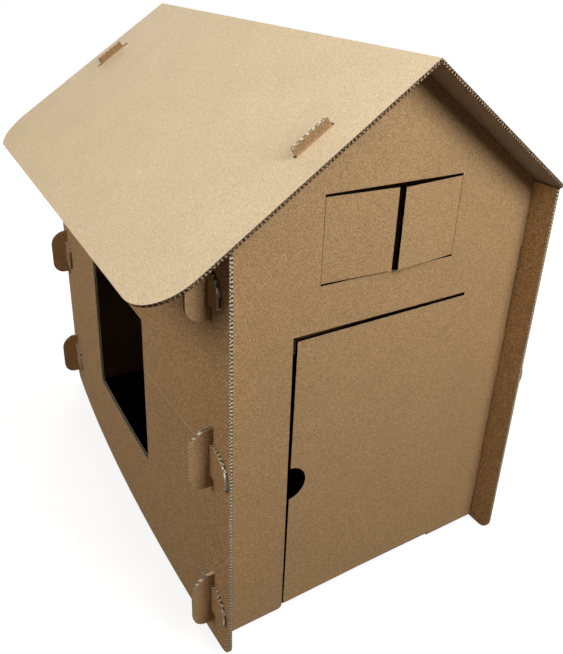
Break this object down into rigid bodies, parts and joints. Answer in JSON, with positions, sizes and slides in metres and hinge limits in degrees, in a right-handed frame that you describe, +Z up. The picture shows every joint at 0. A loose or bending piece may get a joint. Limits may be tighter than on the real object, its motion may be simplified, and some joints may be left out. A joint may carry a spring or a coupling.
{
  "type": "cardboard barn",
  "caption": "Slot-together barn playhouse of corrugated cardboard with a folded roof, a fold-out door, shutters, a window and keys that lock its ears.",
  "frame": {"origin": "bottom centre of the bounding box, on the floor that the barn stands on", "axes": "+Z up, -Y towards the front gable with the door, +X towards the wall without a window; the ridge runs along Y"},
  "size_m": [0.8908, 1.173, 1.1411],
  "materials": {
    "brown_board": "matt brown liner",
    "brown_board_key": "matt brown liner"
  },
  "bodies": {
    "root": {"roof": "brown_board", "left_wall": "brown_board", "right_wall": "brown_board", "front_wall": "brown_board", "back_wall": "brown_board", "key_front_left_bottom": "brown_board_key", "key_front_left_middle": "brown_board_key", "key_front_left_top": "brown_board_key", "key_front_right_bottom": "brown_board_key", "key_front_right_middle": "brown_board_key", "key_front_right_top": "brown_board_key", "key_back_left_bottom": "brown_board_key", "key_back_left_middle": "brown_board_key", "key_back_left_top": "brown_board_key", "key_back_right_bottom": "brown_board_key", "key_back_right_middle": "brown_board_key", "key_back_right_top": "brown_board_key"}
  },
  "joints": []
}
